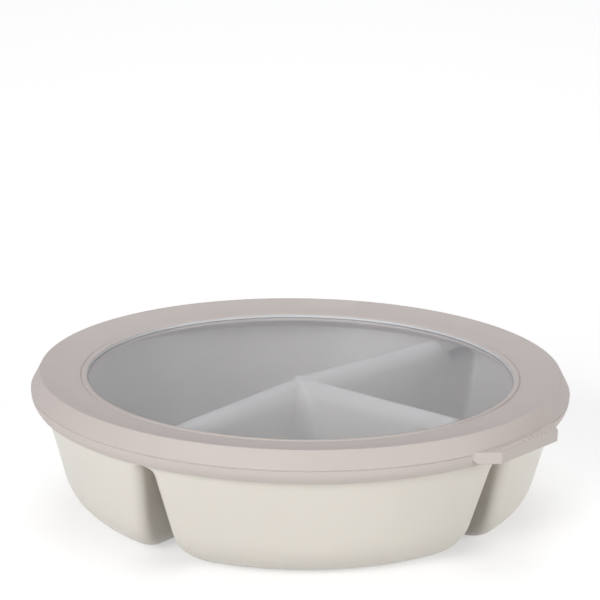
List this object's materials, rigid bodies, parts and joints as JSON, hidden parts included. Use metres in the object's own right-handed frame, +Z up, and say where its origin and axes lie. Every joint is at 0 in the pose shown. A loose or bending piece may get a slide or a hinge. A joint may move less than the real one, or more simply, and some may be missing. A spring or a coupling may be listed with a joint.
{
  "type": "three-section bowl",
  "caption": "Round lunch bowl with divided pods hanging from one rim, and a lid with a soft ring, a milky window and a pull tab.",
  "frame": {"origin": "on the bowl's axis, on the flat face that it stands on", "axes": "+Z up, out of the bowl's mouth; -Y is the front of the picture; the pull tab points to the front right"},
  "size_m": [0.21, 0.21, 0.0555],
  "materials": {
    "bowl": "fine satin, off-white",
    "ring": "soft matt, pinkish beige",
    "window": "milky and see-through, smooth"
  },
  "bodies": {
    "bowl": {"bowl": "bowl"},
    "lid": {"lid_rim": "ring", "lid_window": "window"},
    "tab": {"pull_tab": "ring"}
  },
  "joints": [
    {"name": "lid_lift", "type": "slide", "parent": "bowl", "child": "lid", "axis": [0, 0, 1], "range_m": [0, 0.06]},
    {"name": "tab_flex", "type": "hinge", "parent": "lid", "child": "tab", "pos_m": [0.08206, -0.06598, 0.0493], "axis": [-0.6266, -0.7793, 0], "range_deg": [0, 20], "stiffness_Nm_per_rad": 0.25}
  ]
}
